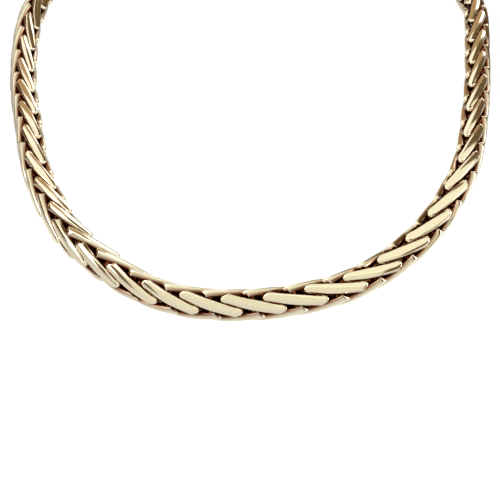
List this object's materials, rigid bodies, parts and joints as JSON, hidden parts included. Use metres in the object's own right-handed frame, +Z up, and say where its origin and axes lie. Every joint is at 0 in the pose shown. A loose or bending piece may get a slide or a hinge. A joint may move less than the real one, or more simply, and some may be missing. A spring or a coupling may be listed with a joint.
{
  "type": "wheat chain necklace",
  "caption": "Graduated wheat chain of interlocked twisted oval links, as worn, closed by a plain barrel clasp.",
  "frame": {"origin": "middle of the neck opening, level with the clasp at the nape", "axes": "+Z up along the neck, +Y towards the nape, +X to the right seen from the front; the chain's lowest point lies towards -Y"},
  "size_m": [0.124, 0.1125, 0.1009],
  "materials": {
    "gold_links": "polished yellow gold, flat bright outer faces",
    "gold_clasp": "polished yellow gold"
  },
  "bodies": {
    "root": {"chain_left": "gold_links", "chain_right": "gold_links", "clasp": "gold_clasp"}
  },
  "joints": []
}
